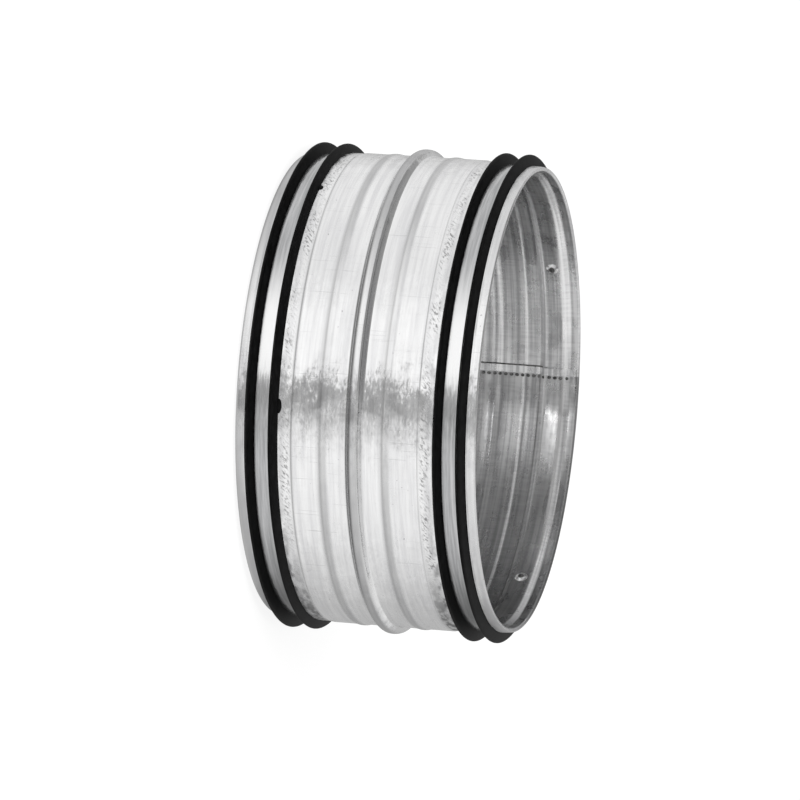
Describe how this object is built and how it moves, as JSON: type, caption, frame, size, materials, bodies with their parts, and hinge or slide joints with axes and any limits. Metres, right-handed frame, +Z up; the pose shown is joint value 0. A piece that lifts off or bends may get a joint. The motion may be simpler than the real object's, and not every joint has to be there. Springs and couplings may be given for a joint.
{
  "type": "duct connector",
  "caption": "Round sheet-steel duct coupler with a central stop bead, folded rims and a lipped rubber gasket under a clamp band at each end, for joining lengths of round air duct.",
  "frame": {"origin": "centre of the lower rim, on the plane the coupler stands on", "axes": "+Z along the duct axis from the lower end to the upper end, +Y through the lap seam, +X to the right of the seam seen from outside with +Z up"},
  "size_m": [0.165, 0.165, 0.081],
  "materials": {
    "galvanised_steel": "galvanised sheet, smooth, with faint scuffs round the girth",
    "seal_rubber": "moulded rubber, matt black",
    "band_steel": "bright strip, streaked round the girth"
  },
  "bodies": {
    "root": {"duct_sleeve": "galvanised_steel", "lower_gasket": "seal_rubber", "upper_gasket": "seal_rubber", "lower_clamp_band": "band_steel", "upper_clamp_band": "band_steel"}
  },
  "joints": []
}
